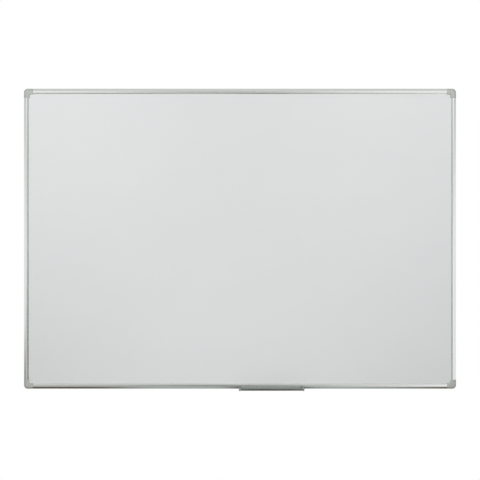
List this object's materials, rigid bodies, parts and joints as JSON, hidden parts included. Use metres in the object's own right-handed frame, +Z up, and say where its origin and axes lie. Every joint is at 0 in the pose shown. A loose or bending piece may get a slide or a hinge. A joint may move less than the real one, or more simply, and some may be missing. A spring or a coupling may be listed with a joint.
{
  "type": "magnetic whiteboard",
  "caption": "Wall-hung magnetic whiteboard: steel-faced panel in an aluminium frame with plastic corner mouldings and a sliding pen tray.",
  "frame": {"origin": "centre of the board's back on the wall plane, midway between the four keyholes", "axes": "+Z up, +Y into the wall, +X to the viewer's right along the board; the writing surface faces -Y"},
  "size_m": [1.8, 0.0628, 1.2534],
  "materials": {
    "frame_aluminium": "satin anodised, fine lines along the extrusion",
    "corner_plastic": "fine moulded grain, semi-matt",
    "screw_zinc": "bright zinc plate",
    "writing_lacquer": "smooth glossy white lacquer on steel",
    "core_card": "raw honeycomb card",
    "back_steel": "galvanised, spangled",
    "tray_aluminium": "satin anodised, fine lines along the extrusion",
    "tray_plastic": "fine moulded grain, semi-matt"
  },
  "bodies": {
    "board": {"rail_bottom": "frame_aluminium", "rail_left": "frame_aluminium", "rail_top": "frame_aluminium", "rail_right": "frame_aluminium", "corner_bottom_left": "corner_plastic", "corner_top_left": "corner_plastic", "corner_top_right": "corner_plastic", "corner_bottom_right": "corner_plastic", "screw_bottom_rail_left": "screw_zinc", "screw_bottom_rail_right": "screw_zinc", "screw_left_rail_top": "screw_zinc", "screw_left_rail_bottom": "screw_zinc", "screw_top_rail_right": "screw_zinc", "screw_top_rail_left": "screw_zinc", "screw_right_rail_bottom": "screw_zinc", "screw_right_rail_top": "screw_zinc", "front_sheet": "writing_lacquer", "core_panel": "core_card", "back_sheet": "back_steel"},
    "tray": {"pen_tray": "tray_aluminium", "tray_end_cap_left": "tray_plastic", "tray_end_cap_right": "tray_plastic"}
  },
  "joints": [
    {"name": "tray_slide", "type": "slide", "parent": "board", "child": "tray", "axis": [1, 0, 0], "range_m": [-0.865, 0.604]}
  ]
}
